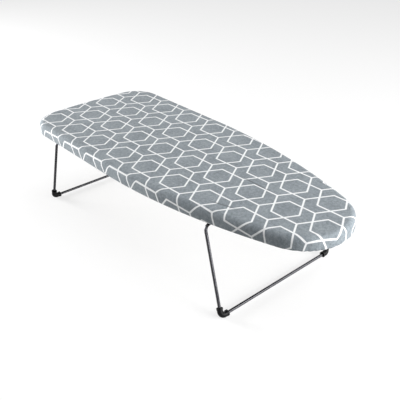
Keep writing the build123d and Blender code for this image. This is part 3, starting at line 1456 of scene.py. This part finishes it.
@dataclass(frozen=True)
class SteelFrame:
    """Rolled rim, and the two cross rails with the riveted clips that the leg wires turn in."""

    coat: bpy.types.Material
    zinc: bpy.types.Material

    def build(self) -> None:
        """Dress the rim, the rails, the rivets and the clips."""
        dress("rim_frame", self.coat)
        for end in End:
            dress(f"{end.value}_cross_rail", self.coat)
            dress(f"{end.value}_hinge_rivets", self.zinc)
            for side in Side:
                dress(f"{end.value}_hinge_clip_{side.value}", self.zinc)


@dataclass(frozen=True)
class FoldingLeg:
    """One bent wire with a moulded foot at each bottom corner."""

    end: End
    wire: bpy.types.Material
    plastic: bpy.types.Material

    def build(self) -> None:
        """Dress the wire and its feet."""
        dress(f"{self.end.value}_leg", self.wire)
        for side in Side:
            dress(f"{self.end.value}_foot_{side.value}", self.plastic)


@dataclass(frozen=True)
class Lamp:
    """Square soft lamp that faces the board."""

    name: str
    place: Triple
    size: float
    power: float
    target: Triple = (0.0, 0.0, 0.12)

    def build(self) -> None:
        """Hang the lamp in its place."""
        lamp = bpy.data.lights.new(self.name, "AREA")
        lamp.size = self.size
        lamp.energy = self.power
        holder = bpy.data.objects.new(self.name, lamp)
        bpy.context.scene.collection.objects.link(holder)
        holder.location = self.place
        aim = Vector(self.target) - Vector(self.place)
        holder.rotation_euler = aim.to_track_quat("-Z", "Y").to_euler()


@dataclass(frozen=True)
class Studio:
    """Floor, light and camera."""

    floor_size: float = 8.0
    floor_color: Color = (0.4, 0.4, 0.4, 1.0)
    floor_glow: float = 0.72
    ambient: Color = (0.07, 0.07, 0.07, 1.0)
    white: Color = (1.0, 1.0, 1.0, 1.0)
    focal_pixels: float = 600.0
    frame_pixels: float = 400.0
    sensor: float = 36.0
    camera_yaw: float = math.radians(138.493)
    camera_pitch: float = math.radians(30.37)
    camera_target: Triple = (71.81 * MM, -37.72 * MM, 115.8 * MM)
    camera_distance: float = 1117.4 * MM
    lamps: tuple[Lamp, ...] = (
        Lamp("left", (-1.96, -0.935, 0.38), size=0.8, power=98.0),
        Lamp("right", (2.03, 0.47, 0.62), size=0.8, power=48.0),
        Lamp("right_back", (1.7, 1.4, 0.8), size=1.0, power=32.0),
        Lamp("top", (0.0, 0.3, 2.2), size=1.8, power=18.5),
    )

    def build(self) -> None:
        """Set up the floor, the world, the lamps and the camera."""
        self._floor()
        self._world()
        for lamp in self.lamps:
            lamp.build()
        self._camera()
        bpy.context.scene.view_settings.view_transform = "Standard"

    def _floor(self) -> None:
        """Lay the floor."""
        bm = bmesh.new()
        bmesh.ops.create_grid(bm, x_segments=1, y_segments=1, size=self.floor_size / 2)
        mesh = bpy.data.meshes.new("studio_floor")
        bm.to_mesh(mesh)
        bm.free()
        floor = bpy.data.objects.new("studio_floor", mesh)
        bpy.context.scene.collection.objects.link(floor)
        mesh.materials.append(self._floor_finish())
        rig.stage(floor)

    def _floor_finish(self) -> bpy.types.Material:
        """Build the floor's material.

        Returns:
            A matt floor that shows near white with the object's shadow on it, and clear from below.
        """
        graph = Surface("studio_floor")
        seen = graph.background_rays()
        color = graph.mix(seen, self.floor_color, self.white)
        graph.surface(Base_Color=color, Roughness=0.9, Specular_IOR_Level=0.0)
        matt = Value(graph, graph.shader.outputs[0])
        glow = graph.value("ShaderNodeEmission", {}, {"Color": self.white, "Strength": 1.0})
        sockets = {0: seen * self.floor_glow, 1: matt, 2: glow}
        pale = graph.value("ShaderNodeMixShader", {}, sockets)
        below = graph.value("ShaderNodeNewGeometry", {}, {}, "Backfacing")
        clear = graph.value("ShaderNodeBsdfTransparent", {}, {})
        floor = graph.value("ShaderNodeMixShader", {}, {0: below * seen, 1: pale, 2: clear})
        graph.feed(graph.tree.nodes["Material Output"].inputs["Surface"], floor)
        return graph.material

    def _world(self) -> None:
        """Make surroundings that show white, and give the object an even soft light."""
        world = bpy.data.worlds.new("studio")
        world.use_nodes = True
        bpy.context.scene.world = world
        graph = Graph(world.node_tree)
        tone = graph.mix(graph.background_rays(), self.ambient, self.white)
        graph.feed(graph.tree.nodes["Background"].inputs["Color"], tone)

    def _camera(self) -> None:
        """Stand the camera where the photograph was taken."""
        data = bpy.data.cameras.new("camera")
        data.sensor_width = self.sensor
        data.lens = self.focal_pixels / self.frame_pixels * self.sensor
        camera = bpy.data.objects.new("camera", data)
        bpy.context.scene.collection.objects.link(camera)
        level = math.cos(self.camera_pitch)
        forward = Vector((
            math.cos(self.camera_yaw) * level,
            math.sin(self.camera_yaw) * level,
            -math.sin(self.camera_pitch),
        ))
        camera.location = Vector(self.camera_target) - forward * self.camera_distance
        camera.rotation_euler = forward.to_track_quat("-Z", "Y").to_euler()
        bpy.context.scene.camera = camera


def main() -> None:
    """Build every sub-assembly in order, and write the sizes."""
    logging.basicConfig(level=logging.INFO, format="%(name)s %(message)s")
    finishes = (
        Plated("dark_chrome", srgb(68, 68, 71), srgb(55, 55, 58), rough=0.27, streaks=700.0),
        Plated("bright_steel", srgb(196, 197, 200), srgb(160, 161, 166), rough=0.34, streaks=900.0),
        Coated(
            "painted_steel", srgb(206, 208, 210), srgb(188, 190, 193),
            rough=0.5, grain=900.0, depth=0.08 * MM,
        ),
        Coated(
            "black_plastic", srgb(13, 13, 15), srgb(6, 6, 7),
            rough=0.42, grain=1400.0, depth=0.06 * MM, gloss=0.14,
        ),
    )
    wire, zinc, coat, plastic = (finish.make() for finish in finishes)
    low, high = (Vector(corner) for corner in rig.box("cover"))
    outline = Outline(length=high.x - low.x, width=high.y - low.y)
    gathers = Gathers(outline)
    Cover(outline, gathers, top=high.z, bottom=low.z).build()
    pad_low, pad_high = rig.box("pad")
    Pad(outline, top=pad_high[2], bottom=pad_low[2]).build()
    tape_low, tape_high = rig.box("hem_elastic")
    outer = high.x - tape_high[0]
    Elastic(outline, gathers, outer=outer, bottom=tape_low[2], top=tape_high[2]).build()
    deck_low, deck_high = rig.box("deck_mesh")
    Deck(outline, top=deck_high[2], bottom=deck_low[2], finish=coat).build()
    SteelFrame(coat, zinc).build()
    for end in End:
        FoldingLeg(end, wire, plastic).build()
    Studio().build()
    with open(SIZE_FILE, "w") as out:
        json.dump({"cad": [list(c) for c in CAD_BOX], "visual": [list(c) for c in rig.bounds()]}, out)


if __name__ == "__main__":
    main()
